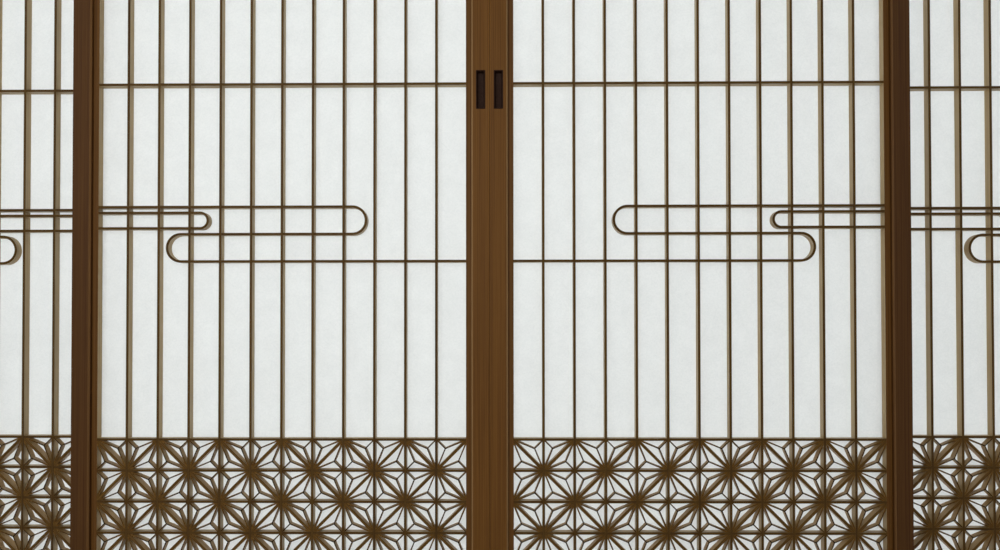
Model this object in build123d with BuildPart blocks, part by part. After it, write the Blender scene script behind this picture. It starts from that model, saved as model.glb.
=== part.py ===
from build123d import *
import os
from dataclasses import dataclass
from math import cos, radians, sin, sqrt

os.makedirs("parts", exist_ok=True)

# A set of four sliding lattice screens in its frame, seen from the room side, which faces -Y.
# X runs along the tracks and Z is up. The origin is at the middle of the sill's underside.

# Lattice
bay = 60.0  # pitch of the upright bars, and side of one hemp-leaf square
bay_count = 12
bar_width = 4.8
bar_depth = 15.0
strip_width = 10.8  # border strip inside the stiles and rails
leaf_rows = 4
zone_height = 345.0  # pitch of the cross bars above the hemp-leaf band
zone_count = 5
mist_zone = 1  # this cross bar is part of the mist figure
diagonal_width = 4.2
leaf_width = 3.0  # at the fork of a leaf piece, from where its arms taper
leaf_depth = 11.0
leaf_play = 0.06  # room at each tip of the pieces let into the squares

# Mist figure: heights above its base bar, and reach of its turns past the bars
mist_low_bar = 53.0
mist_loop_low = 64.6
mist_loop_high = 94.7
mist_high_bar = 106.0
mist_turn_reach = 17.0
mist_loop_reach = 20.5
mist_inner_bay = 3
mist_outer_bay = 8

# Panel frame
stile_width = 35.0
panel_depth = 30.0
bottom_rail_height = 50.0
top_rail_height = 55.0
face_chamfer = 3.0
lattice_reveal = 9.0  # how far the stiles stand in front of the bars
paper_thickness = 1.0
paper_play = 0.2
tenon_length = 22.0
tenon_thickness = 10.0
tenon_height = 26.0

# Finger pull
pull_width = 18.0
pull_height = 75.0
pull_rim = 1.2
pull_proud = 0.6
pull_depth = 8.0
pull_wall = 1.0
pull_inset = 17.0  # from the panel's edge to the middle of the pull
pull_rise = 675.0  # above the top bar of the hemp-leaf band

# Tracks
groove_width = 21.0
track_pitch = 33.0
tongue_play = 0.75  # at each face of the tongue
sill_groove_depth = 3.0
head_groove_depth = 15.0
foot_play = 0.3
foot_shoulder = 1.0
head_play = 5.0  # above the tongue, so that a panel lifts out
head_shoulder = 5.0

# Outer frame
frame_depth = 110.0
sill_thickness = 40.0
head_thickness = 40.0
jamb_thickness = 30.0
housing_depth = 5.0
meeting_gap = 0.4
jamb_gap = 0.5
overlap = 41.0

# What follows from those sizes
node_inset = stile_width + strip_width - bar_width / 2
panel_width = bay_count * bay + 2 * node_inset
clear_bay = bay - bar_width
tongue_thickness = groove_width - 2 * tongue_play
foot_height = sill_groove_depth - foot_play + foot_shoulder
crown_height = head_groove_depth - head_play + head_shoulder

panel_bottom = sill_thickness - sill_groove_depth + foot_play
lattice_bottom = panel_bottom + bottom_rail_height + strip_width - bar_width / 2
leaf_top = lattice_bottom + leaf_rows * bay
mist_base = leaf_top + mist_zone * zone_height
lattice_top = leaf_top + zone_count * zone_height
panel_top = lattice_top + strip_width - bar_width / 2 + top_rail_height
panel_height = panel_top - panel_bottom
sight_bottom = panel_bottom + bottom_rail_height
sight_top = panel_top - top_rail_height
tenon_middle_low = (panel_bottom + foot_height + sight_bottom) / 2
tenon_middle_high = (panel_top - crown_height + sight_top) / 2
head_bottom = panel_top + head_play - head_groove_depth
frame_height = head_bottom + head_thickness

opening_width = 4 * panel_width - 2 * overlap + meeting_gap + 2 * jamb_gap
front_track = -track_pitch / 2
back_track = track_pitch / 2


@dataclass(frozen=True)
class Panel:
    """One sliding panel: its name, middle, track, the side its mist starts from and its pull's side."""

    name: str
    middle: float
    track: float
    mist_side: int
    pull_side: int

    @property
    def front(self) -> float:
        """Y of the stiles' front face."""
        return self.track - panel_depth / 2

    @property
    def lattice_front(self) -> float:
        """Y of the bars' front face."""
        return self.front + lattice_reveal

    def bar_x(self, index: float) -> float:
        """X of a grid line, counted from the left."""
        return self.middle + (index - bay_count / 2) * bay

    def mist_x(self, index: float, reach: float = 0.0) -> float:
        """X of a grid line and a reach past it, counted from the side where the mist starts."""
        return self.middle - self.mist_side * ((bay_count / 2 - index) * bay - reach)


inner_middle = (panel_width + meeting_gap) / 2
outer_middle = inner_middle + panel_width - overlap
panels = [
    Panel("inner_left", -inner_middle, front_track, 1, 1),
    Panel("inner_right", inner_middle, front_track, -1, -1),
    Panel("outer_left", -outer_middle, back_track, -1, -1),
    Panel("outer_right", outer_middle, back_track, 1, 1),
]


def facing(y: float) -> Plane:
    """Upright plane at depth y, seen from the room: its first axis is X, its second is Z."""
    return Plane.XZ.offset(-y)


def keep(piece: BuildPart, name: str) -> None:
    """Label a finished piece and write it."""
    piece.part.label = name
    export_step(piece.part, f"parts/{name}.step")


# Panel frame

def make_stile(panel: Panel, side: int) -> BuildPart:
    """Upright of the panel's frame, with its tongues, mortises, face chamfer and pull recess."""
    edge = panel.middle + side * panel_width / 2
    middle = edge - side * stile_width / 2
    inside = edge - side * stile_width
    with BuildPart() as stile:
        with BuildSketch(Plane.XY.offset(panel_bottom)):
            with Locations((middle, panel.track)):
                Rectangle(stile_width, panel_depth)
        extrude(amount=panel_height)
        front_edges = stile.edges().filter_by(Axis.Z).group_by(Axis.Y)[0].sort_by(Axis.X)
        chamfer(front_edges[0 if side > 0 else -1], length=face_chamfer)
        for height, top in ((foot_height, panel_bottom + foot_height), (crown_height, panel_top)):
            with BuildSketch(Plane.XY.offset(top)):
                with Locations((middle, panel.track)):
                    Rectangle(2 * stile_width, 2 * panel_depth)
                    Rectangle(2 * stile_width, tongue_thickness, mode=Mode.SUBTRACT)
            extrude(amount=-height, mode=Mode.SUBTRACT)
        with BuildSketch(Plane.YZ.offset(inside)):
            with Locations((panel.track, tenon_middle_low), (panel.track, tenon_middle_high)):
                Rectangle(tenon_thickness, tenon_height)
        extrude(amount=side * tenon_length, mode=Mode.SUBTRACT)
        if side == panel.pull_side:
            with BuildSketch(facing(panel.front)):
                with Locations((edge - side * pull_inset, leaf_top + pull_rise)):
                    Rectangle(pull_width - 2 * pull_rim, pull_height - 2 * pull_rim)
            extrude(amount=-(pull_depth + pull_wall), mode=Mode.SUBTRACT)
    return stile


def make_rail(panel: Panel, at_top: bool) -> BuildPart:
    """Top or bottom member of the panel's frame: tongue, face chamfer and a tenon at each end."""
    low, high = (sight_top, panel_top) if at_top else (panel_bottom, sight_bottom)
    tenon_middle = tenon_middle_high if at_top else tenon_middle_low
    length = panel_width - 2 * stile_width
    tongue_top, tongue_height = (panel_top, crown_height) if at_top else (panel_bottom + foot_height, foot_height)
    with BuildPart() as rail:
        with BuildSketch(Plane.YZ.offset(panel.middle)):
            with Locations((panel.track, (low + high) / 2)):
                Rectangle(panel_depth, high - low)
            with Locations((panel.track, tongue_top - tongue_height / 2)):
                Rectangle(2 * panel_depth, tongue_height, mode=Mode.SUBTRACT)
                Rectangle(tongue_thickness, tongue_height)
        extrude(amount=length / 2, both=True)
        long_edges = rail.edges().filter_by(Axis.X).group_by(Axis.Z)[0 if at_top else -1]
        chamfer(long_edges.sort_by(Axis.Y)[0], length=face_chamfer)
        with BuildSketch(Plane.YZ.offset(panel.middle)):
            with Locations((panel.track, tenon_middle)):
                Rectangle(tenon_thickness, tenon_height)
        extrude(amount=length / 2 + tenon_length, both=True)
    return rail


def make_border_strips(panel: Panel) -> BuildPart:
    """Four strips that line the panel's frame, level with the bars."""
    inside_width = panel_width - 2 * stile_width
    side_x = (inside_width - strip_width) / 2
    middle_z = (sight_bottom + sight_top) / 2
    with BuildPart() as strips:
        with BuildSketch(facing(panel.lattice_front)):
            with Locations((panel.middle - side_x, middle_z), (panel.middle + side_x, middle_z)):
                Rectangle(strip_width, sight_top - sight_bottom)
        extrude(amount=-bar_depth)
        with BuildSketch(facing(panel.lattice_front)):
            with Locations(
                (panel.middle, sight_bottom + strip_width / 2), (panel.middle, sight_top - strip_width / 2)
            ):
                Rectangle(inside_width - 2 * strip_width, strip_width)
        extrude(amount=-bar_depth, mode=Mode.ADD)
    return strips


# Lattice

def make_upright_bars(panel: Panel) -> BuildPart:
    """Upright bars, unbroken from the bottom strip to the top strip."""
    length = lattice_top - lattice_bottom - bar_width
    with BuildPart() as bars:
        with BuildSketch(facing(panel.lattice_front)):
            with Locations((panel.middle, (lattice_bottom + lattice_top) / 2)):
                with GridLocations(bay, 0, bay_count - 1, 1):
                    Rectangle(bar_width, length)
        extrude(amount=-bar_depth)
    return bars


def make_cross_bars(panel: Panel) -> BuildPart:
    """Level bars, let in between the uprights: the rows of the leaf band and the bars above it."""
    rows = [leaf_top - row * bay for row in range(leaf_rows)]
    rows += [leaf_top + zone * zone_height for zone in range(1, zone_count) if zone != mist_zone]
    with BuildPart() as bars:
        with BuildSketch(facing(panel.lattice_front)):
            with Locations(*[(panel.bar_x(index + 0.5), row) for index in range(bay_count) for row in rows]):
                Rectangle(clear_bay, bar_width)
        extrude(amount=-bar_depth)
    return bars


def make_mist_bars(panel: Panel) -> BuildPart:
    """Drifting mist: one bar that runs in, turns back and turns again, and a small loop inside it."""
    high, low = mist_base + mist_high_bar, mist_base + mist_low_bar
    loop_high, loop_low = mist_base + mist_loop_high, mist_base + mist_loop_low
    runs = [
        (high, range(mist_outer_bay)),
        (low, range(mist_inner_bay, mist_outer_bay)),
        (mist_base, range(mist_inner_bay, bay_count)),
        (loop_high, range(mist_inner_bay)),
        (loop_low, range(mist_inner_bay)),
    ]
    turns = [
        (mist_outer_bay, 1, mist_turn_reach, low, high),
        (mist_inner_bay, -1, mist_turn_reach, mist_base, low),
        (mist_inner_bay, 1, mist_loop_reach, loop_low, loop_high),
    ]
    half = bar_width / 2
    with BuildPart() as bars:
        with BuildSketch(facing(panel.lattice_front)):
            with Locations(*[(panel.mist_x(index + 0.5), row) for row, indexes in runs for index in indexes]):
                Rectangle(clear_bay, bar_width)
            for index, way, reach, below, above in turns:
                start = panel.mist_x(index, way * half)
                bend = panel.mist_x(index, way * reach)
                middle, radius = (below + above) / 2, (above - below) / 2
                outer_crest = panel.mist_x(index, way * (reach + radius + half))
                inner_crest = panel.mist_x(index, way * (reach + radius - half))
                with BuildLine():
                    Line((start, above + half), (bend, above + half))
                    ThreePointArc((bend, above + half), (outer_crest, middle), (bend, below - half))
                    Polyline((bend, below - half), (start, below - half), (start, below + half), (bend, below + half))
                    ThreePointArc((bend, below + half), (inner_crest, middle), (bend, above - half))
                    Polyline((bend, above - half), (start, above - half), (start, above + half))
                make_face()
        extrude(amount=-bar_depth)
    return bars


def leaf_squares(panel: Panel) -> list[tuple[float, float, int]]:
    """Middle of each square of the leaf band, and the turn of its diagonal: stars on even grid points."""
    return [
        (panel.bar_x(index + 0.5), leaf_top - (row + 0.5) * bay, -1 if (index + row) % 2 == 0 else 1)
        for index in range(bay_count)
        for row in range(leaf_rows)
    ]


def make_leaf_diagonals(panel: Panel) -> BuildPart:
    """One bar across each square, from star to star."""
    length = sqrt(2) * clear_bay - diagonal_width - 2 * leaf_play
    with BuildPart() as bars:
        with BuildSketch(facing(panel.lattice_front)):
            with Locations(*[Location((x, z), 45 * turn) for x, z, turn in leaf_squares(panel)]):
                Rectangle(length, diagonal_width)
        extrude(amount=-bar_depth)
    return bars


def leaf_outline() -> list[tuple[float, float]]:
    """Three-armed leaf piece in the lower left half of a square, about the square's middle.

    Its fork is the middle of the circle that touches the half's three sides, and its tips reach the corners.
    """
    half = clear_bay / 2
    leg = clear_bay - diagonal_width / sqrt(2)
    fork = -half + leg * (1 - 1 / sqrt(2))
    corners = [(-half, -half + leg), (-half, -half), (-half + leg, -half)]
    outline = []
    for (x, z), notch_angle, notch_half_angle in zip(corners, (168.75, 281.25, 45.0), (56.25, 56.25, 67.5)):
        reach = sqrt((x - fork) ** 2 + (z - fork) ** 2)
        share = 1 - leaf_play / reach
        outline.append((fork + (x - fork) * share, fork + (z - fork) * share))
        notch = leaf_width / 2 / sin(radians(notch_half_angle))
        outline.append((fork + notch * cos(radians(notch_angle)), fork + notch * sin(radians(notch_angle))))
    return outline


def make_leaf_pieces(panel: Panel) -> BuildPart:
    """Two forked leaf pieces in each square, one on each side of its diagonal."""
    turns = {-1: (0, 180), 1: (90, 270)}
    with BuildPart() as leaves:
        with BuildSketch(facing(panel.lattice_front)):
            with Locations(*[Location((x, z), angle) for x, z, turn in leaf_squares(panel) for angle in turns[turn]]):
                Polygon(*leaf_outline(), align=None)
        extrude(amount=-leaf_depth)
    return leaves


def make_paper(panel: Panel) -> BuildPart:
    """One stiff sheet of paper on the back of the lattice."""
    with BuildPart() as paper:
        with BuildSketch(facing(panel.lattice_front + bar_depth)):
            with Locations((panel.middle, (sight_bottom + sight_top) / 2)):
                Rectangle(panel_width - 2 * stile_width - 2 * paper_play, sight_top - sight_bottom - 2 * paper_play)
        extrude(amount=-paper_thickness)
    return paper


def make_finger_pull(panel: Panel) -> BuildPart:
    """Sunk cup with a thin rim that lies on the stile's face."""
    x = panel.middle + panel.pull_side * (panel_width / 2 - pull_inset)
    z = leaf_top + pull_rise
    with BuildPart() as pull:
        with BuildSketch(facing(panel.front)):
            with Locations((x, z)):
                Rectangle(pull_width, pull_height)
        extrude(amount=pull_proud)
        with BuildSketch(facing(panel.front)):
            with Locations((x, z)):
                Rectangle(pull_width - 2 * pull_rim, pull_height - 2 * pull_rim)
        extrude(amount=-(pull_depth + pull_wall))
        with BuildSketch(facing(panel.front - pull_proud)):
            with Locations((x, z)):
                Rectangle(pull_width - 2 * (pull_rim + pull_wall), pull_height - 2 * (pull_rim + pull_wall))
        extrude(amount=-(pull_depth + pull_proud), mode=Mode.SUBTRACT)
    return pull


for panel in panels:
    keep(make_stile(panel, -1), f"{panel.name}_left_stile")
    keep(make_stile(panel, 1), f"{panel.name}_right_stile")
    keep(make_rail(panel, at_top=True), f"{panel.name}_top_rail")
    keep(make_rail(panel, at_top=False), f"{panel.name}_bottom_rail")
    keep(make_border_strips(panel), f"{panel.name}_border_strips")
    keep(make_upright_bars(panel), f"{panel.name}_upright_bars")
    keep(make_cross_bars(panel), f"{panel.name}_cross_bars")
    keep(make_mist_bars(panel), f"{panel.name}_mist_bars")
    if panel.track == front_track:
        keep(make_leaf_diagonals(panel), f"{panel.name}_leaf_diagonals")
        keep(make_leaf_pieces(panel), f"{panel.name}_leaf_pieces")
    keep(make_paper(panel), f"{panel.name}_paper")
    keep(make_finger_pull(panel), f"{panel.name}_finger_pull")

# Outer frame

with BuildPart() as sill:
    with BuildSketch(Plane.YZ):
        with Locations((0, sill_thickness / 2)):
            Rectangle(frame_depth, sill_thickness)
        with Locations(
            (front_track, sill_thickness - sill_groove_depth / 2), (back_track, sill_thickness - sill_groove_depth / 2)
        ):
            Rectangle(groove_width, sill_groove_depth, mode=Mode.SUBTRACT)
    extrude(amount=opening_width / 2 + housing_depth, both=True)
keep(sill, "sill_track")

with BuildPart() as head:
    with BuildSketch(Plane.YZ):
        with Locations((0, head_bottom + head_thickness / 2)):
            Rectangle(frame_depth, head_thickness)
        with Locations(
            (front_track, head_bottom + head_groove_depth / 2), (back_track, head_bottom + head_groove_depth / 2)
        ):
            Rectangle(groove_width, head_groove_depth, mode=Mode.SUBTRACT)
    extrude(amount=opening_width / 2 + housing_depth, both=True)
keep(head, "head_track")

for name, side in (("left_jamb", -1), ("right_jamb", 1)):
    with BuildPart() as jamb:
        with BuildSketch(Plane.YZ.offset(side * opening_width / 2)):
            with Locations((0, frame_height / 2)):
                Rectangle(frame_depth, frame_height)
        extrude(amount=side * jamb_thickness)
        with BuildSketch(Plane.YZ.offset(side * opening_width / 2)):
            with Locations((0, sill_thickness / 2)):
                Rectangle(frame_depth, sill_thickness)
            with Locations((0, head_bottom + head_thickness / 2)):
                Rectangle(frame_depth, head_thickness)
        extrude(amount=side * housing_depth, mode=Mode.SUBTRACT)
    keep(jamb, name)
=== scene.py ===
"""Dress, light and camera for a set of four sliding lattice screens in their wooden frame.

Every lattice piece is worked out with numpy as a prism on an outline, every frame member is a copy of its
solid with eased edges, and the sunk pulls are swept surfaces. All are in metres, in the frame of the solids.
"""

import logging
import math
from collections.abc import Iterable, Sequence
from dataclasses import dataclass
from enum import Enum

import bmesh
import bpy
import numpy as np
from bpy.types import Material, Mesh, Node, NodeSocket, NodeTree, Object
from mathutils import Euler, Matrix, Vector


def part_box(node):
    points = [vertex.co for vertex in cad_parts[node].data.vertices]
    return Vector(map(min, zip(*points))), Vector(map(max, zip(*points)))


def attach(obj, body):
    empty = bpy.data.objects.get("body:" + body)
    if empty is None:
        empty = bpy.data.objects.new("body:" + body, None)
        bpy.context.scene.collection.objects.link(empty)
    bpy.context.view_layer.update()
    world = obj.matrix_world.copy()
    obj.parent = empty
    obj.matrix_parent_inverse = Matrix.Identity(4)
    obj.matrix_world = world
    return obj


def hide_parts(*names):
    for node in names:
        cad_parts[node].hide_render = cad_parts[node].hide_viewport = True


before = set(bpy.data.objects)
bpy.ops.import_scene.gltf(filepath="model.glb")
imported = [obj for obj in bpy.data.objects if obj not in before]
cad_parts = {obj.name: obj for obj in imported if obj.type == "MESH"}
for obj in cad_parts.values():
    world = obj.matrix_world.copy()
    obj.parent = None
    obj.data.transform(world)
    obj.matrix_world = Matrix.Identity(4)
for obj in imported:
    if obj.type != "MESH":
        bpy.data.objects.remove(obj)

LOG = logging.getLogger("screens")
MM = 0.001
GRAIN = "grain"
LIT_SHARE = "lit_share"

Colour = tuple[float, ...]
Place = tuple[float, float, float]

# Sizes that the solids have too
BAY = 60.0 * MM
BAY_COUNT = 12
BAR_WIDTH = 4.8 * MM
BAR_DEPTH = 15.0 * MM
CLEAR_BAY = BAY - BAR_WIDTH
STRIP_WIDTH = 10.8 * MM
LEAF_ROWS = 4
LEAF_PLAY = 0.06 * MM
ZONE_HEIGHT = 345.0 * MM
ZONE_COUNT = 5
MIST_ZONE = 1
MIST_LOW, MIST_HIGH = 53.0 * MM, 106.0 * MM
MIST_LOOP_LOW, MIST_LOOP_HIGH = 64.6 * MM, 94.7 * MM
MIST_TURN_REACH = 17.0 * MM
MIST_LOOP_REACH = 20.5 * MM
MIST_INNER_BAY = 3
MIST_OUTER_BAY = 8
MEETING_PANELS = ("inner_left", "inner_right")

# Sizes of the visible pieces alone, finer than those of the solids or nearer to the photograph
DIAGONAL_WIDTH = 5.6 * MM
DIAGONAL_SETBACK = 0.1 * MM
LEAF_STRIP_WIDTH = 2.2 * MM
LEAF_END_WIDTH = 2.9 * MM
LEAF_DEPTH = 12.0 * MM
LEAF_SETBACK = 0.2 * MM
LATTICE_EASE = 0.35 * MM
PANEL_EASE = 0.5 * MM
TRACK_EASE = 0.8 * MM

# A leaf's three arms, first the one to the square's corner: each wedge's length as a share of the arm's width,
# and each outline corner's share of the face's full colour, a painted shade deepest at the notches and over the
# first arm, for each arm a shoulder, the tip, a shoulder and the notch after it
LEAF_WEDGES = (0.5, 1.25, 1.25)
LEAF_LIT_SHARES = (0.45, 0.45, 0.45, 0.0, 1.0, 1.0, 1.0, 0.0, 1.0, 1.0, 1.0, 0.0)

# A pull's section in millimetres, from behind the rim, round it and into the cup: inset from the rim's edge, depth
# behind the stile's face
PULL_PROUD = 0.6
PULL_WALL_INSET = 1.3
PULL_SECTION = (
    (PULL_WALL_INSET, 0.2), (0.15, 0.0), (0.0, -0.2), (0.12, -0.48), (0.4, -PULL_PROUD), (0.9, -0.56),
    (1.5, -0.30), (2.1, 0.4), (2.3, 1.5), (2.4, 6.2), (2.7, 7.3), (3.3, 8.0), (4.6, 8.2),
)
PULL_CORNER = 1.0 * MM
PULL_LEAST_CORNER = 0.35 * MM
PULL_CORNER_STEPS = 7

# How meshes and grain are made
TURN_STEPS = 25
LEAST_SPREAD = 0.35
MERGE_DISTANCE = 1e-6
FLAT_ANGLE = math.radians(1.0)
BEVEL_ANGLE = math.radians(30)
BEVEL_SEGMENTS = 2
CHAMFER_NORMAL_Y = (-0.9, -0.5)
GRAIN_SPREAD = 40.0
FRAME_SEED, TURN_SEED = 100, 200
LEVEL, UPRIGHT = (1.0, 0.0), (0.0, 1.0)

# The photograph's frame and the view fitted to it
PHOTO_WIDTH, PHOTO_HEIGHT = 1000, 550
SENSOR_WIDTH_MM = 36.0
FOCAL_PX = 700.0
HORIZON_ROW = 316.84
CAMERA_PLACE = (0.0308, -1.375, 0.5557)
CAMERA_TURN_LEFT = 0.0082
CAMERA_TILT_UP = 0.0124
CAMERA_ROLL = 0.0010
CAMERA_CLIP = (0.05, 60.0)

WHITE = (1.0, 1.0, 1.0)
GROUND = (0.93, 0.93, 0.93)

# Places of the sockets on a mix node that works on colours
MIX_SHARE, MIX_FIRST, MIX_SECOND, MIX_RESULT = 0, 6, 7, 2


# Finishes

@dataclass(frozen=True)
class WoodFinish:
    """Stained straight-grained softwood, read from each piece's own grain attribute."""

    name: str
    early: Colour
    late: Colour
    ring_pitch: float = 0.0022
    ring_run: float = 2.2
    fibre_scale: Place = (14.0, 1900.0, 1900.0)
    drift_scale: Place = (1.6, 22.0, 22.0)
    roughness: float = 0.56
    sheen_level: float = 0.16
    shade_gain: float = 0.0

    def material(self) -> Material:
        """Build the node material.

        Returns:
            The material: fine lines along the grain, slow change of tone, pores, and a bump of the same lines.
        """
        made = NodeSheet(self.name)
        grain = made.node("ShaderNodeAttribute", attribute_name=GRAIN).outputs["Vector"]
        ring_scale = (self.ring_run, 1 / self.ring_pitch, 1 / self.ring_pitch)
        rings = made.noise(made.mapped(grain, ring_scale), scale=1.0, detail=3.0, distortion=0.35)
        fibre = made.noise(made.mapped(grain, self.fibre_scale), scale=1.0, detail=2.0)
        drift = made.noise(made.mapped(grain, self.drift_scale), scale=1.0, detail=2.0)
        middle = mixed(self.early, self.late, 0.45)
        tone = made.ramp(rings, [(0.30, self.early), (0.52, middle), (0.68, self.late)])
        tone = made.multiply(tone, made.ramp(drift, [(0.3, (0.88, 0.87, 0.86)), (0.7, WHITE)]))
        tone = made.multiply(tone, made.ramp(fibre, [(0.34, (0.84, 0.83, 0.82)), (0.62, WHITE)]))
        # Painted shade: with a gain the colour darkens where the lit-share attribute is low, down to 1 / (1 +
        # gain)
        if self.shade_gain:
            lit_share = made.node("ShaderNodeAttribute", attribute_name=LIT_SHARE)
            darkest = scaled(WHITE, 1 / (1 + self.shade_gain))
            tone = made.multiply(tone, made.ramp(lit_share, [(0.0, darkest), (1.0, WHITE)]))
        made.join(colour_of(tone), made.shader.inputs["Base Color"])
        dull, bright = scaled(WHITE, self.roughness + 0.12), scaled(WHITE, self.roughness - 0.05)
        made.join(colour_of(made.ramp(fibre, [(0.3, dull), (0.7, bright)])), made.shader.inputs["Roughness"])
        made.shader.inputs["Specular IOR Level"].default_value = self.sheen_level
        made.bump([(rings, 0.25), (fibre, 0.35)], distance=0.00012)
        return made.material


@dataclass(frozen=True)
class PaperFinish:
    """Translucent paper with long pale fibres."""

    name: str
    colour: Colour
    see_through: float
    pulp_scale: float = 28.0
    fleck_scale: float = 330.0
    fibre_size: Place = (0.0011, 0.0011, 0.030)
    fibre_turns: tuple[float, ...] = (0.35, 1.25, 2.30)

    def material(self) -> Material:
        """Build the node material.

        Returns:
            The material: scattered fibres and clouds of pulp, part of the light let through.
        """
        made = NodeSheet(self.name)
        place = made.node("ShaderNodeTexCoord").outputs["Object"]
        pulp = made.noise(place, scale=self.pulp_scale, detail=4.0)
        fleck = made.noise(place, scale=self.fleck_scale, detail=3.0)
        ways = [made.mapped(place, self.fibre_size, (0.0, turn, 0.0), "TEXTURE") for turn in self.fibre_turns]
        fibres = [made.noise(way, scale=1.0, detail=2.0, distortion=0.8) for way in ways]
        tone = made.ramp(pulp, [(0.32, scaled(self.colour, 0.975)), (0.68, self.colour)])
        tone = made.multiply(tone, made.ramp(fleck, [(0.35, (0.955, 0.96, 0.962)), (0.65, WHITE)]))
        for fibre in fibres:
            tone = made.multiply(tone, made.ramp(fibre, [(0.62, WHITE), (0.74, (0.955, 0.958, 0.96))]))
        made.join(colour_of(tone), made.shader.inputs["Base Color"])
        made.shader.inputs["Roughness"].default_value = 0.72
        made.shader.inputs["Specular IOR Level"].default_value = 0.25
        made.bump([(pulp, 0.3), (fibres[0], 0.4), (fibres[1], 0.4)], distance=0.00008)
        through = made.node("ShaderNodeBsdfTranslucent")
        made.join(colour_of(tone), through.inputs["Color"])
        made.show(mix_shaders(made.tree, self.see_through, made.shader, through))
        return made.material


@dataclass(frozen=True)
class PullFinish:
    """Dark bronzed metal, finely mottled with a slightly paler tone."""

    name: str
    colour: Colour
    paler: Colour
    mottle_scale: float = 260.0
    cloud_scale: float = 45.0

    def material(self) -> Material:
        """Build the node material.

        Returns:
            The material: fine mottling, and a smooth sheen that breaks up a little.
        """
        made = NodeSheet(self.name)
        place = made.node("ShaderNodeTexCoord").outputs["Object"]
        mottle = made.noise(place, scale=self.mottle_scale, detail=3.0)
        cloud = made.noise(place, scale=self.cloud_scale, detail=2.0)
        tone = made.ramp(mottle, [(0.35, self.colour), (0.75, self.paler)])
        dullness = made.ramp(cloud, [(0.3, scaled(WHITE, 0.34)), (0.7, scaled(WHITE, 0.50))])
        made.join(colour_of(tone), made.shader.inputs["Base Color"])
        made.join(colour_of(dullness), made.shader.inputs["Roughness"])
        made.shader.inputs["Metallic"].default_value = 0.10
        made.shader.inputs["Specular IOR Level"].default_value = 0.06
        made.bump([(mottle, 0.25)], distance=0.00005)
        return made.material


@dataclass(frozen=True)
class FloorFinish:
    """Plain floor, a little paler to the camera than its light makes it, and the ground's colour far off."""

    name: str
    colour: Colour
    cloud_scale: float = 1.4
    pale_glow: float = 0.28
    fade_start: float = 4.0
    fade_end: float = 11.0

    def material(self) -> Material:
        """Build a plain matt material with a trace of unevenness, which fades into the ground with distance.

        Returns:
            The material.
        """
        made = NodeSheet(self.name)
        place = made.node("ShaderNodeTexCoord").outputs["Object"]
        cloud = made.noise(place, scale=self.cloud_scale, detail=2.0)
        tone = made.ramp(cloud, [(0.3, scaled(self.colour, 0.97)), (0.7, self.colour)])
        made.join(colour_of(tone), made.shader.inputs["Base Color"])
        made.shader.inputs["Roughness"].default_value = 0.8
        glow = made.node("ShaderNodeEmission", {"Color": (*self.colour, 1.0), "Strength": self.pale_glow})
        glowing = made.node("ShaderNodeAddShader")
        made.join(made.shader.outputs[0], glowing.inputs[0])
        made.join(glow.outputs[0], glowing.inputs[1])
        distance = made.node("ShaderNodeVectorMath", operation="LENGTH")
        made.join(place, distance.inputs[0])
        fade = made.node("ShaderNodeMapRange", {"From Min": self.fade_start, "From Max": self.fade_end})
        made.join(distance.outputs["Value"], fade.inputs["Value"])
        ground = made.node("ShaderNodeEmission", {"Color": (*GROUND, 1.0)})
        faded = mix_shaders(made.tree, fade.outputs["Result"], glowing, ground)
        path = made.node("ShaderNodeLightPath")
        made.show(mix_shaders(made.tree, path.outputs["Is Camera Ray"], made.shader, faded))
        return made.material


def mixed(first: Colour, second: Colour, share: float) -> Colour:
    """Colour between two, share of the way from the first to the second."""
    return tuple(a + (b - a) * share for a, b in zip(first, second))


def scaled(colour: Colour, by: float) -> Colour:
    """The same colour, darker or brighter by a factor."""
    return tuple(part * by for part in colour)


def colour_of(node: Node) -> NodeSocket:
    """The socket on which a ramp or a mix node gives its colour."""
    return node.outputs[MIX_RESULT if node.bl_idname == "ShaderNodeMix" else "Color"]


def mix_shaders(tree: NodeTree, share: float | NodeSocket, first: Node, second: Node) -> Node:
    """Add a mix of two shaders.

    Args:
        tree: the tree that it belongs to.
        share: the second one's share, as a number or as the socket that gives it.
        first: the shader at share 0.
        second: the shader at share 1.

    Returns:
        The mix node.
    """
    made = tree.nodes.new("ShaderNodeMixShader")
    if isinstance(share, float):
        made.inputs[0].default_value = share
    else:
        tree.links.new(share, made.inputs[0])
    tree.links.new(first.outputs[0], made.inputs[1])
    tree.links.new(second.outputs[0], made.inputs[2])
    return made


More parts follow.
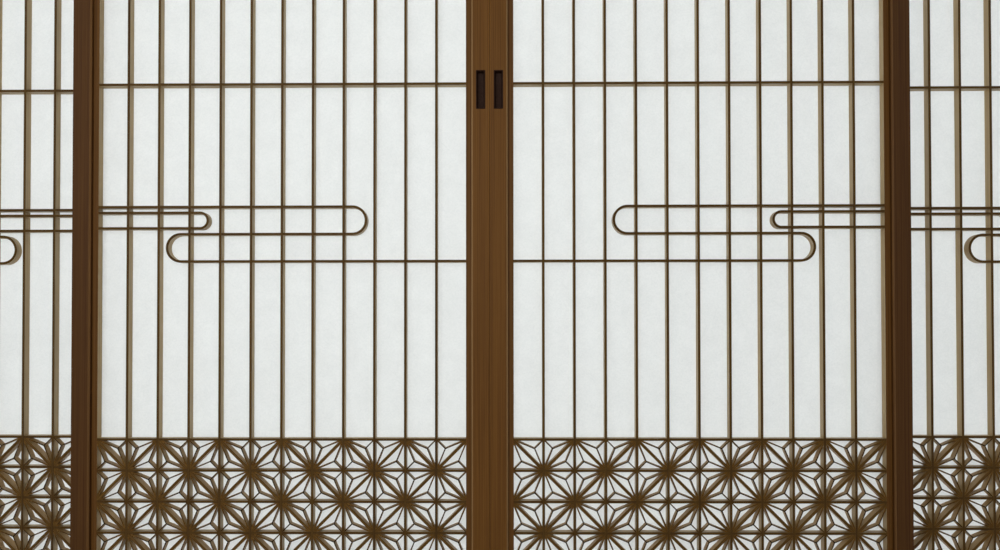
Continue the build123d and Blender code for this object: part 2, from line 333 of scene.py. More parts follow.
class NodeSheet:
    """A material being built: its tree, its shader and short ways to add nodes."""

    def __init__(self, name: str) -> None:
        """Start an empty node material called name."""
        self.material = bpy.data.materials.new(name)
        self.material.use_nodes = True
        self.tree = self.material.node_tree
        self.shader = self.tree.nodes["Principled BSDF"]
        self.output = self.tree.nodes["Material Output"]

    def node(self, kind: str, inputs: dict | None = None, **settings: object) -> Node:
        """Add a node.

        Args:
            kind: the node's type.
            inputs: values for its sockets, by name or place.
            settings: values for its own properties.

        Returns:
            The node.
        """
        made = self.tree.nodes.new(kind)
        for key, value in settings.items():
            setattr(made, key, value)
        for key, value in (inputs or {}).items():
            made.inputs[key].default_value = value
        return made

    def join(self, source: NodeSocket, target: NodeSocket) -> None:
        """Join an output to an input."""
        self.tree.links.new(source, target)

    def show(self, shader: Node) -> None:
        """Make a shader the one that the surface shows."""
        self.join(shader.outputs[0], self.output.inputs["Surface"])

    def mapped(self, place: NodeSocket, scale: Place, turn: Place = (0.0, 0.0, 0.0),
               kind: str = "POINT") -> NodeSocket:
        """Stretch and turn coordinates.

        Args:
            place: the coordinates.
            scale: factor on each axis, or its inverse where kind is TEXTURE.
            turn: turn about each axis.
            kind: the Mapping node's type.

        Returns:
            The changed coordinates.
        """
        made = self.node("ShaderNodeMapping", {"Scale": scale, "Rotation": turn}, vector_type=kind)
        self.join(place, made.inputs["Vector"])
        return made.outputs["Vector"]

    def noise(self, place: NodeSocket, scale: float, detail: float, distortion: float = 0.0) -> Node:
        """Add a noise texture.

        Args:
            place: the coordinates that it reads.
            scale: the noise's scale.
            detail: the noise's detail.
            distortion: how much it is warped.

        Returns:
            The noise node.
        """
        made = self.node("ShaderNodeTexNoise", {"Scale": scale, "Detail": detail, "Distortion": distortion})
        self.join(place, made.inputs["Vector"])
        return made

    def ramp(self, source: Node, stops: Sequence[tuple[float, Colour]]) -> Node:
        """Colour a node's factor by a ramp.

        Args:
            source: a noise or an attribute node.
            stops: pairs of a place from 0 to 1 and a colour.

        Returns:
            The ramp node.
        """
        made = self.node("ShaderNodeValToRGB")
        elements = made.color_ramp.elements
        while len(elements) < len(stops):
            elements.new(0.5)
        for element, (place, colour) in zip(elements, stops):
            element.position = place
            element.color = (*colour, 1.0)
        self.join(source.outputs["Fac"], made.inputs["Fac"])
        return made

    def multiply(self, first: Node, second: Node) -> Node:
        """Multiply two colours.

        Args:
            first: a ramp or a mix node.
            second: another one.

        Returns:
            The mix node.
        """
        made = self.node("ShaderNodeMix", {MIX_SHARE: 1.0}, data_type="RGBA", blend_type="MULTIPLY")
        self.join(colour_of(first), made.inputs[MIX_FIRST])
        self.join(colour_of(second), made.inputs[MIX_SECOND])
        return made

    def bump(self, layers: Sequence[tuple[Node, float]], distance: float) -> None:
        """Chain a bump node for each noise.

        Args:
            layers: pairs of a noise node and the strength of its bump.
            distance: height of the bumps in metres.
        """
        previous = None
        for source, strength in layers:
            made = self.node("ShaderNodeBump", {"Strength": strength, "Distance": distance})
            self.join(source.outputs["Fac"], made.inputs["Height"])
            if previous is not None:
                self.join(previous.outputs["Normal"], made.inputs["Normal"])
            previous = made
        self.join(previous.outputs["Normal"], self.shader.inputs["Normal"])


# Meshes

def finish_object(name: str, mesh: Mesh, materials: Sequence[Material], body: str) -> Object:
    """Put a mesh in the scene.

    Args:
        name: the piece's name.
        mesh: its mesh, in the frame of the solids.
        materials: its finishes, the first for the sides and the second, if there is one, for the faces.
        body: the body that it rides on.

    Returns:
        The new object, at the origin.
    """
    # Clearing the finishes can reset the number that each face has, so the numbers are kept and written back
    indices = np.zeros(len(mesh.polygons), np.int32)
    mesh.polygons.foreach_get("material_index", indices)
    mesh.materials.clear()
    for material in materials:
        mesh.materials.append(material)
    mesh.polygons.foreach_set("material_index", indices)
    piece = bpy.data.objects.new(name, mesh)
    bpy.context.scene.collection.objects.link(piece)
    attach(piece, body)
    return piece


def points_of(mesh: Mesh) -> np.ndarray:
    """Read a mesh's points.

    Args:
        mesh: the mesh.

    Returns:
        (points, 3) places.
    """
    points = np.empty(len(mesh.vertices) * 3)
    mesh.vertices.foreach_get("co", points)
    return points.reshape(-1, 3)


def write_grain(mesh: Mesh, grain: np.ndarray) -> None:
    """Store the grain coordinates, metres along, across and into the wood, on the mesh's points."""
    layer = mesh.attributes.get(GRAIN) or mesh.attributes.new(GRAIN, "FLOAT_VECTOR", "POINT")
    layer.data.foreach_set("vector", grain.astype(np.float32).ravel())


def inward(outlines: np.ndarray, ease: float) -> np.ndarray:
    """Move every outline inwards by a distance.

    Each corner moves along the sum of its two edges' inward normals, divided by one plus their dot product,
    which keeps both edges parallel to themselves. The divisor has a least value, so that a needle tip stays.

    Args:
        outlines: (pieces, corners, 2), anticlockwise.
        ease: the distance.

    Returns:
        The moved outlines, in the same shape.
    """
    forward = np.roll(outlines, -1, axis=1) - outlines
    forward = forward / np.linalg.norm(forward, axis=2, keepdims=True)
    normal = np.stack([-forward[..., 1], forward[..., 0]], axis=2)
    before = np.roll(normal, 1, axis=1)
    spread = 1.0 + np.sum(normal * before, axis=2, keepdims=True)
    return outlines + ease * (normal + before) / np.maximum(spread, LEAST_SPREAD)


def anticlockwise(outlines: np.ndarray) -> np.ndarray:
    """Turn round each outline whose area, half the sum of its cross products, is negative.

    Args:
        outlines: (pieces, corners, 2).

    Returns:
        The outlines, all anticlockwise.
    """
    x, z = outlines[..., 0], outlines[..., 1]
    area = np.sum(x * np.roll(z, -1, axis=1) - np.roll(x, -1, axis=1) * z, axis=1)
    return np.where((area < 0)[:, None, None], outlines[:, ::-1], outlines)


def prism_mesh(name: str, outlines: np.ndarray, front: float, depth: float, ease: float) -> Mesh:
    """Prisms on flat outlines, with eased front edges.

    A point is (x, y, z) = (outline x, layer depth, outline z): the front layer is the outline moved inwards by
    the ease, the next is the outline itself one ease deeper, and the last is the outline at the back.

    Args:
        name: the mesh's name.
        outlines: (pieces, corners, 2) in X and Z.
        front: Y of the front faces.
        depth: how deep the prisms are.
        ease: size of the eased edge.

    Returns:
        The mesh.
    """
    outlines = anticlockwise(outlines)
    count, corners, _ = outlines.shape
    layers = np.stack([inward(outlines, ease), outlines, outlines], axis=1)
    depths = np.array([front, front + ease, front + depth])
    points = np.empty((count, 3, corners, 3))
    points[..., 0] = layers[..., 0]
    points[..., 1] = depths[None, :, None]
    points[..., 2] = layers[..., 1]
    number = np.arange(count * 3 * corners).reshape(count, 3, corners)
    after = np.roll(number, -1, axis=2)
    sides = np.stack([number[:, :-1], number[:, 1:], after[:, 1:], after[:, :-1]], axis=-1).reshape(-1, 4)
    faces = [tuple(face) for face in sides.tolist()]
    faces += [tuple(face) for face in number[:, 0].tolist()]
    faces += [tuple(face) for face in number[:, 2, ::-1].tolist()]
    mesh = bpy.data.meshes.new(name)
    mesh.from_pydata(points.reshape(-1, 3).tolist(), [], faces)
    # Fronts and eased edges take the second finish, sides the first: on bars, painted shade and painted light
    on_face = np.zeros(len(faces), np.int32)
    on_face[: len(sides)] = np.tile(np.repeat([1, 0], corners), count)
    on_face[len(sides): len(sides) + count] = 1
    mesh.polygons.foreach_set("material_index", on_face)
    make_outward(mesh)
    return mesh


def make_outward(mesh: Mesh) -> None:
    """Turn every face outwards.

    Args:
        mesh: a closed mesh.
    """
    work = bmesh.new()
    work.from_mesh(mesh)
    bmesh.ops.recalc_face_normals(work, faces=work.faces)
    work.to_mesh(mesh)
    work.free()


def straight_outlines(starts: np.ndarray, ends: np.ndarray, width: float, tip: float) -> np.ndarray:
    """Outlines of straight bars, square-ended, or with a wedge at each end.

    A corner is start or end, moved along the bar by the tip's length and across it by half the width.

    Args:
        starts: (bars, 2), the middle of each bar's first end in X and Z.
        ends: (bars, 2), the middle of its other end.
        width: the bars' width.
        tip: length of the wedge at each end, 0 for square ends.

    Returns:
        (bars, 4 or 6, 2) outlines.
    """
    along = ends - starts
    along = along / np.linalg.norm(along, axis=1, keepdims=True)
    across = np.stack([-along[:, 1], along[:, 0]], axis=1) * width / 2
    corners = [starts + along * tip - across, ends - along * tip - across]
    corners += [ends] if tip > 0 else []
    corners += [ends - along * tip + across, starts + along * tip + across]
    corners += [starts] if tip > 0 else []
    return np.stack(corners, axis=1)


def straight_grain(mesh: Mesh, pieces: int, along: Sequence, seed: int) -> None:
    """Grain that runs along each straight piece.

    The grain point is (distance along the piece's direction, distance across it, depth), plus an offset of its
    own for each piece, so that no two pieces show the same stretch of wood.

    Args:
        mesh: a mesh of equal pieces, one after another.
        pieces: how many there are.
        along: (pieces, 2), each piece's unit direction in X and Z, or one pair for all of them.
        seed: for the offsets.
    """
    points = points_of(mesh).reshape(pieces, -1, 3)
    along = np.broadcast_to(np.array(along), (pieces, 2))
    x, y, z = points[..., 0], points[..., 1], points[..., 2]
    run = x * along[:, None, 0] + z * along[:, None, 1]
    side = x * along[:, None, 1] - z * along[:, None, 0]
    offset = np.random.default_rng(seed).uniform(0.0, GRAIN_SPREAD, (pieces, 1, 3))
    write_grain(mesh, (np.stack([run, side, y], axis=-1) + offset).reshape(-1, 3))


def turn_outline(start: tuple[float, float], way: int, reach: float, radius: float) -> np.ndarray:
    """Outline of a bar that runs out, turns half round and comes back.

    The outer edge is (x, z) = bend + (radius + half width) (cos a, sin a) for a from +90 to -90 degrees, the
    inner edge the same with radius - half width, backwards, and each ends square at the upright.

    Args:
        start: X of the upright's face and Z of the turn's middle.
        way: 1 to the right, -1 to the left.
        reach: from the upright's face to the centre of the turn.
        radius: of the bar's middle line.

    Returns:
        (1, corners, 2) outline.
    """
    angles = np.linspace(math.pi / 2, -math.pi / 2, TURN_STEPS)
    unit = np.stack([way * np.cos(angles), np.sin(angles)], axis=1)
    bend = np.array([start[0] + way * reach, start[1]])
    outer = bend + (radius + BAR_WIDTH / 2) * unit
    inner = (bend + (radius - BAR_WIDTH / 2) * unit)[::-1]
    ends = [np.array([[start[0], edge[1]]]) for edge in (outer[0], outer[-1], inner[0], inner[-1])]
    return np.concatenate([ends[0], outer, ends[1], ends[2], inner, ends[3]])[None]


def turn_grain(mesh: Mesh, bend: tuple[float, float], way: int, seed: int) -> None:
    """Grain that follows the bend: distance along is angle times radius on the arc and X beyond it.

    Args:
        mesh: one turn of the mist figure.
        bend: X and Z of the turn's centre.
        way: 1 where it bulges to the right, -1 to the left.
        seed: for the grain's offset.
    """
    points = points_of(mesh)
    u, w = way * (points[:, 0] - bend[0]), points[:, 2] - bend[1]
    radius = np.hypot(u, w)
    on_arc = u > 0
    angle = np.arctan2(w, np.maximum(u, 0.0))
    mean = float(np.mean(radius[on_arc]))
    run = np.where(on_arc, angle * mean, np.sign(w) * (math.pi / 2 * mean - u))
    side = np.where(on_arc, radius, np.abs(w))
    offset = np.random.default_rng(seed).uniform(0.0, GRAIN_SPREAD, 3)
    write_grain(mesh, np.stack([run, side, points[:, 1]], axis=1) + offset)


class Grain(Enum):
    """Way the grain runs in a frame member."""

    ALONG_X = 0
    ALONG_Z = 2


def eased_copy(name: str, node: str, body: str, way: Grain, materials: Sequence[Material], ease: float,
               seed: int) -> Object:
    """A copy of a solid with merged points, flat faces and rounded edges.

    Args:
        name: the piece's name.
        node: the solid that it stands for.
        body: the body that it rides on.
        way: the way the grain runs.
        materials: its finish, then that of its chamfers, a paler painted highlight, if it has them.
        ease: radius of the rounded edges.
        seed: for the grain's offset.

    Returns:
        The new piece.
    """
    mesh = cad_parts[node].data.copy()
    mesh.name = name
    work = bmesh.new()
    work.from_mesh(mesh)
    bmesh.ops.remove_doubles(work, verts=work.verts, dist=MERGE_DISTANCE)
    bmesh.ops.dissolve_limit(work, angle_limit=FLAT_ANGLE, verts=work.verts, edges=work.edges)
    work.to_mesh(mesh)
    work.free()
    order = [way.value, 2 - way.value, 1]
    offset = np.random.default_rng(seed).uniform(0.0, GRAIN_SPREAD, 3)
    write_grain(mesh, points_of(mesh)[:, order] + offset)
    # Forward-slanted chamfer faces take the second finish, a paler painted highlight
    on_highlighted_chamfer = np.zeros(len(mesh.polygons), np.int32)
    if len(materials) > 1:
        normals = np.empty(len(mesh.polygons) * 3)
        mesh.polygons.foreach_get("normal", normals)
        steepest, flattest = CHAMFER_NORMAL_Y
        on_highlighted_chamfer[:] = (normals[1::3] > steepest) & (normals[1::3] < flattest)
    mesh.polygons.foreach_set("material_index", on_highlighted_chamfer)
    piece = finish_object(name, mesh, materials, body)
    bevel = piece.modifiers.new("eased edges", "BEVEL")
    bevel.width = ease
    bevel.segments = BEVEL_SEGMENTS
    bevel.limit_method = "ANGLE"
    bevel.angle_limit = BEVEL_ANGLE
    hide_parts(node)
    return piece


# The sliding panels

@dataclass(frozen=True)
class Finishes:
    """Materials shared by the pieces."""

    # Some are one wood with painted light or shade: chamfer highlights, far stiles, bar faces, bar and leaf sides
    frame_wood: Material
    frame_chamfer_highlight: Material
    far_stile_shaded_wood: Material
    far_chamfer_shaded_highlight: Material
    strip_wood: Material
    shaded_bar_face: Material
    star_face: Material
    lit_bar_side: Material
    leaf_face: Material
    lit_leaf_side: Material
    track_wood: Material
    paper: Material
    pull: Material


@dataclass
class Panel:
    """One sliding panel: its frame, lattice, mist bars, hemp-leaf band, paper and pull."""

    name: str
    mist_side: int
    pull_side: int
    finishes: Finishes
    seed: int

    def __post_init__(self) -> None:
        """Read the panel's place from its solids."""
        bars_low, bars_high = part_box(f"{self.name}_upright_bars")
        self.body = f"{self.name}_panel"
        self.middle = (bars_low.x + bars_high.x) / 2
        self.lattice_front = bars_low.y
        self.lattice_bottom = bars_low.z - BAR_WIDTH / 2
        self.lattice_top = bars_high.z + BAR_WIDTH / 2
        self.leaf_top = self.lattice_bottom + LEAF_ROWS * BAY
        self.mist_base = self.leaf_top + MIST_ZONE * ZONE_HEIGHT
        # Bar sides are paler, painted light from the paper, and bar faces darker, painted shade
        self.bar_finishes = [self.finishes.lit_bar_side, self.finishes.shaded_bar_face]
        # Diagonal and leaf strip sides are paler too, painted light from the paper
        self.star_finishes = [self.finishes.lit_leaf_side, self.finishes.star_face]
        self.leaf_finishes = [self.finishes.lit_leaf_side, self.finishes.leaf_face]

    def bar_x(self, index: np.ndarray) -> np.ndarray:
        """X of grid lines, counted from the left: middle plus a bay for each line past the centre one."""
        return self.middle + (index - BAY_COUNT / 2) * BAY

    def mist_x(self, index: np.ndarray) -> np.ndarray:
        """X of grid lines, counted from the side where the mist starts."""
        return self.middle - self.mist_side * (BAY_COUNT / 2 - index) * BAY

    def lattice_piece(self, kind: str, outlines: np.ndarray, along: Sequence, materials: Sequence[Material],
                      depth: float = BAR_DEPTH, setback: float = 0.0) -> Object:
        """Make one set of straight lattice pieces, which stand for the solid of their kind if there is one.

        Args:
            kind: what the pieces are, as in the solid's name.
            outlines: (pieces, corners, 2) in X and Z.
            along: (pieces, 2), the way each piece's grain runs, or one pair for all of them.
            materials: the finishes of their sides and faces.
            depth: how deep they are.
            setback: how far their faces lie behind the bars' faces.

        Returns:
            The new piece.
        """
        name = f"{self.name}_{kind}_dressed"
        mesh = prism_mesh(name, outlines, self.lattice_front + setback, depth, LATTICE_EASE)
        straight_grain(mesh, len(outlines), along, self.seed + len(outlines))
        piece = finish_object(name, mesh, materials, self.body)
        if f"{self.name}_{kind}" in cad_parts:
            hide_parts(f"{self.name}_{kind}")
        return piece

    def build_frame(self) -> Iterable[Object]:
        """Stiles and rails, with rounded edges.

        Returns:
            The four members, one at a time.
        """
        members = [("left_stile", Grain.ALONG_Z), ("right_stile", Grain.ALONG_Z), ("top_rail", Grain.ALONG_X),
                   ("bottom_rail", Grain.ALONG_X)]
        pull_stile = "right_stile" if self.pull_side > 0 else "left_stile"
        for number, (kind, way) in enumerate(members):
            meets = kind == pull_stile and self.name in MEETING_PANELS
            # Stiles away from the meeting pair: darker wood, painted shade; chamfers of all: a painted highlight
            chosen = [self.finishes.frame_wood, self.finishes.frame_chamfer_highlight]
            if kind.endswith("stile") and not meets:
                chosen = [self.finishes.far_stile_shaded_wood, self.finishes.far_chamfer_shaded_highlight]
            piece = eased_copy(f"{self.name}_{kind}_dressed", f"{self.name}_{kind}", self.body, way, chosen,
                               PANEL_EASE, self.seed + FRAME_SEED + number)
            yield piece

    def build_border(self) -> Object:
        """Four strips that line the frame, the upright pair whole and the level pair between them.

        Returns:
            The new piece.
        """
        low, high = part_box(f"{self.name}_border_strips")
        half = STRIP_WIDTH / 2
        left, right, bottom, top = low.x + half, high.x - half, low.z + half, high.z - half
        starts = np.array([[left, low.z], [right, low.z], [left + half, bottom], [left + half, top]])
        ends = np.array([[left, high.z], [right, high.z], [right - half, bottom], [right - half, top]])
        outlines = straight_outlines(starts, ends, STRIP_WIDTH, 0.0)
        along = [UPRIGHT, UPRIGHT, LEVEL, LEVEL]
        return self.lattice_piece("border_strips", outlines, along,
                                  [self.finishes.lit_bar_side, self.finishes.strip_wood])

    def build_uprights(self) -> Object:
        """Eleven upright bars, from the bottom strip to the top strip.

        Returns:
            The new piece.
        """
        x = self.bar_x(np.arange(1, BAY_COUNT))
        low = np.full_like(x, self.lattice_bottom + BAR_WIDTH / 2)
        high = np.full_like(x, self.lattice_top - BAR_WIDTH / 2)
        outlines = straight_outlines(np.stack([x, low], 1), np.stack([x, high], 1), BAR_WIDTH, 0.0)
        return self.lattice_piece("upright_bars", outlines, UPRIGHT, self.bar_finishes)

    def level_outlines(self, middles: np.ndarray, heights: np.ndarray) -> np.ndarray:
        """Outlines of level bars, each one clear bay long.

        Args:
            middles: X of each bar's middle.
            heights: Z of each bar's middle.

        Returns:
            (bars, 4, 2) outlines.
        """
        half = np.array([CLEAR_BAY / 2, 0.0])
        centres = np.stack([middles, heights], axis=1)
        return straight_outlines(centres - half, centres + half, BAR_WIDTH, 0.0)

    def build_cross_bars(self) -> Object:
        """Rows of the leaf band and the level bars above it, between the uprights.

        Returns:
            The new piece.
        """
        rows = [self.leaf_top - row * BAY for row in range(LEAF_ROWS)]
        rows += [self.leaf_top + zone * ZONE_HEIGHT for zone in range(1, ZONE_COUNT) if zone != MIST_ZONE]
        middles, heights = np.meshgrid(self.bar_x(np.arange(BAY_COUNT) + 0.5), np.array(rows))
        outlines = self.level_outlines(middles.ravel(), heights.ravel())
        return self.lattice_piece("cross_bars", outlines, LEVEL, self.bar_finishes)

    def build_mist(self) -> Iterable[Object]:
        """Straight runs of the mist figure, then its three turns.

        Returns:
            The four pieces, one at a time.
        """
        low, high = self.mist_base + MIST_LOW, self.mist_base + MIST_HIGH
        loop_low, loop_high = self.mist_base + MIST_LOOP_LOW, self.mist_base + MIST_LOOP_HIGH
        runs = [(high, 0, MIST_OUTER_BAY), (low, MIST_INNER_BAY, MIST_OUTER_BAY),
                (self.mist_base, MIST_INNER_BAY, BAY_COUNT), (loop_high, 0, MIST_INNER_BAY),
                (loop_low, 0, MIST_INNER_BAY)]
        middles = np.concatenate([self.mist_x(np.arange(first, last) + 0.5) for _, first, last in runs])
        heights = np.concatenate([np.full(last - first, row) for row, first, last in runs])
        outlines = self.level_outlines(middles, heights)
        yield self.lattice_piece("mist_bars", outlines, LEVEL, self.bar_finishes)
        turns = [("mist_outer_turn", MIST_OUTER_BAY, 1, MIST_TURN_REACH, low, high),
                 ("mist_inner_turn", MIST_INNER_BAY, -1, MIST_TURN_REACH, self.mist_base, low),
                 ("mist_loop_turn", MIST_INNER_BAY, 1, MIST_LOOP_REACH, loop_low, loop_high)]
        for number, (kind, index, way, reach, below, above) in enumerate(turns):
            turned = way * self.mist_side
            start = (float(self.mist_x(np.array(index))) + turned * BAR_WIDTH / 2, (below + above) / 2)
            clear_reach = reach - BAR_WIDTH / 2
            outline = turn_outline(start, turned, clear_reach, (above - below) / 2)
            mesh = prism_mesh(f"{self.name}_{kind}", outline, self.lattice_front, BAR_DEPTH, LATTICE_EASE)
            bend = (start[0] + turned * clear_reach, start[1])
            turn_grain(mesh, bend, turned, self.seed + TURN_SEED + number)
            piece = finish_object(f"{self.name}_{kind}", mesh, self.bar_finishes, self.body)
            yield piece

    def squares(self) -> tuple[np.ndarray, np.ndarray]:
        """Squares of the leaf band, whose diagonals meet in stars on the even grid points.

        Returns:
            (squares, 2) middles in X and Z, and for each square -1 or 1, the slope of its diagonal.
        """
        index, row = np.meshgrid(np.arange(BAY_COUNT), np.arange(LEAF_ROWS), indexing="ij")
        centres = np.stack([self.bar_x(index + 0.5), self.leaf_top - (row + 0.5) * BAY], axis=-1)
        turns = np.where((index + row) % 2 == 0, -1.0, 1.0)
        return centres.reshape(-1, 2), turns.ravel()

    def build_diagonals(self) -> Object:
        """One bar across each square, pointed so that it fits into the corners.

        Returns:
            The new piece.
        """
        centres, turns = self.squares()
        along = np.stack([np.ones_like(turns), turns], axis=1) / math.sqrt(2)
        half = along * (CLEAR_BAY / math.sqrt(2) - LEAF_PLAY)
        outlines = straight_outlines(centres - half, centres + half, DIAGONAL_WIDTH, DIAGONAL_WIDTH / 2)
        return self.lattice_piece("leaf_diagonals", outlines, along, self.star_finishes,
                                  setback=DIAGONAL_SETBACK)

    def build_leaves(self) -> Object:
        """Three thin strips to each half square, from its fork into its corners.

        Returns:
            The new piece.
        """
        centres, turns = self.squares()
        outline = leaf_outline()
        quarter = np.where(turns < 0, 0.0, math.pi / 2)
        angles = np.concatenate([quarter, quarter + math.pi])
        turning = np.stack([np.stack([np.cos(angles), -np.sin(angles)], -1),
                            np.stack([np.sin(angles), np.cos(angles)], -1)], axis=-2)
        outlines = np.einsum("nij,kj->nki", turning, outline) + np.tile(centres, (2, 1))[:, None]
        along = np.stack([np.cos(angles + math.pi / 4), np.sin(angles + math.pi / 4)], axis=1)
        piece = self.lattice_piece("leaf_pieces", outlines, along, self.leaf_finishes,
                                   LEAF_DEPTH, LEAF_SETBACK)
        # Painted shade: each outline corner's share of the face's full colour, least at the fork notches
        lit_share = piece.data.attributes.new(LIT_SHARE, "FLOAT", "POINT")
        lit_share.data.foreach_set("value", np.tile(LEAF_LIT_SHARES, len(outlines) * 3).astype(np.float32))
        return piece

    def dress_paper(self) -> Object:
        """Give the paper, which keeps its solid, its finish.

        Returns:
            The solid's own object.
        """
        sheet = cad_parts[f"{self.name}_paper"]
        sheet.data.materials.clear()
        sheet.data.materials.append(self.finishes.paper)
        return sheet

    def build_pull(self) -> Object:
        """Sunk cup with a rounded rim.

        Returns:
            The new piece.
        """
        name = f"{self.name}_finger_pull_dressed"
        low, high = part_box(f"{self.name}_finger_pull")
        piece = finish_object(name, pull_mesh(name, low, high), [self.finishes.pull], self.body)
        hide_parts(f"{self.name}_finger_pull")
        return piece

    def build(self) -> None:
        """Build and dress every piece of the panel."""
        made = [*self.build_frame(), self.build_border(), self.build_uprights(), self.build_cross_bars(),
                *self.build_mist(), self.build_diagonals(), self.build_leaves(), self.dress_paper(),
                self.build_pull()]
        for piece in made:
            LOG.info("%s: %d faces", piece.name, len(piece.data.polygons))


def leaf_outline() -> np.ndarray:
    """Outline of a forked leaf piece in the lower left half of a square, about the square's middle.

    The fork is the middle of the circle that touches the half's three sides. An arm runs from it to each
    corner and ends in a wedge, a little wider at the two sharp corners. Two arms meet at half the width over
    the sine of half the angle between them.

    Returns:
        (12, 2) outline: for each arm its two shoulders and its tip, then the notch before the next arm.
    """
    half = CLEAR_BAY / 2
    leg = CLEAR_BAY - DIAGONAL_WIDTH / math.sqrt(2)
    fork = np.full(2, -half + leg * (1 - 1 / math.sqrt(2)))
    corners = np.array([[-half, -half], [-half + leg, -half], [-half, -half + leg]])
    widths = np.array([[LEAF_STRIP_WIDTH], [LEAF_END_WIDTH], [LEAF_END_WIDTH]])
    wedges = widths[:, 0] * np.array(LEAF_WEDGES)
    arms = corners - fork
    reach = np.linalg.norm(arms, axis=1, keepdims=True)
    along = arms / reach
    across = np.stack([-along[:, 1], along[:, 0]], axis=1) * widths / 2
    tips = fork + along * (reach - LEAF_PLAY)
    shoulders = fork + along * (reach - LEAF_PLAY - wedges[:, None])
    following = np.roll(along, -1, axis=0)
    between = along + following
    between = between / np.linalg.norm(between, axis=1, keepdims=True)
    half_angle = np.arccos(np.sum(along * following, axis=1, keepdims=True)) / 2
    notches = fork + between * LEAF_STRIP_WIDTH / 2 / np.sin(half_angle)
    return np.stack([shoulders - across, tips, shoulders + across, notches], axis=1).reshape(-1, 2)


def pull_mesh(name: str, low: Vector, high: Vector) -> Mesh:
    """Pressed cup: a rim that rolls over from the stile's face, walls and a flat floor.

    Going round, a ring is a rounded rectangle: corner centre plus corner radius times (cos a, sin a). Going in,
    each ring has an inset from the outer edge and a depth, over the rim's crest and down the wall.

    Args:
        name: the mesh's name.
        low: lowest corner of the solid cup.
        high: its highest corner.

    Returns:
        The mesh, closed at the back.
    """
    face = low.y + PULL_PROUD * MM
    width, height = high.x - low.x, high.z - low.z
    section = np.array([(PULL_WALL_INSET, (high.y - face) / MM), *PULL_SECTION]) * MM
    insets, depths = section[:, 0], section[:, 1] + face
    quarter = np.linspace(0.0, math.pi / 2, PULL_CORNER_STEPS)
    angles = np.concatenate([quarter + turn * math.pi / 2 for turn in range(4)])
    signs = np.repeat(np.array([[1, 1], [-1, 1], [-1, -1], [1, -1]]), PULL_CORNER_STEPS, axis=0)
    radii = np.maximum(PULL_CORNER - insets, PULL_LEAST_CORNER)
    half = np.stack([width / 2 - insets, height / 2 - insets], axis=1)
    centres = signs[None] * (half[:, None] - radii[:, None, None])
    ring = centres + radii[:, None, None] * np.stack([np.cos(angles), np.sin(angles)], axis=1)[None]
    points = np.empty((len(section), len(angles), 3))
    points[..., 0] = ring[..., 0] + (low.x + high.x) / 2
    points[..., 1] = depths[:, None]
    points[..., 2] = ring[..., 1] + (low.z + high.z) / 2
    number = np.arange(points.shape[0] * points.shape[1]).reshape(points.shape[:2])
    after = np.roll(number, -1, axis=1)
    faces = np.stack([number[:-1], number[1:], after[1:], after[:-1]], axis=-1).reshape(-1, 4).tolist()
    faces += [number[0].tolist(), number[-1, ::-1].tolist()]
    mesh = bpy.data.meshes.new(name)
    mesh.from_pydata(points.reshape(-1, 3).tolist(), [], faces)
    make_outward(mesh)
    mesh.polygons.foreach_set("use_smooth", np.ones(len(mesh.polygons), bool))
    return mesh


# The outer frame

@dataclass
class OuterFrame:
    """Head track, sill track and jambs."""

    finishes: Finishes
    seed: int = 900

    def build(self) -> None:
        """Build the four members with rounded edges."""
        members = [("sill_track", Grain.ALONG_X), ("head_track", Grain.ALONG_X), ("left_jamb", Grain.ALONG_Z),
                   ("right_jamb", Grain.ALONG_Z)]
        for number, (node, way) in enumerate(members):
            piece = eased_copy(f"{node}_dressed", node, "frame", way, [self.finishes.track_wood], TRACK_EASE,
                               self.seed + number)
            LOG.info("%s: %d faces", piece.name, len(piece.data.polygons))


# Camera, light and floor

@dataclass(frozen=True)
class Lamp:
    """Soft rectangular lamp: its place, the point that it faces, its width and height, and its beam's angle."""

    name: str
    place: Place
    aim: Place
    size: tuple[float, float]
    watts: float
    colour: Colour
    spread: float = math.pi

    def build(self) -> None:
        """Add the lamp to the scene."""
        lamp = bpy.data.lights.new(self.name, "AREA")
        lamp.spread = self.spread
        lamp.shape = "RECTANGLE"
        lamp.size, lamp.size_y = self.size
        lamp.energy = self.watts
        lamp.color = self.colour
        holder = bpy.data.objects.new(self.name, lamp)
        holder.location = self.place
        holder.rotation_euler = (Vector(self.aim) - Vector(self.place)).to_track_quat("-Z", "Y").to_euler()
        holder.visible_camera = False
        bpy.context.scene.collection.objects.link(holder)


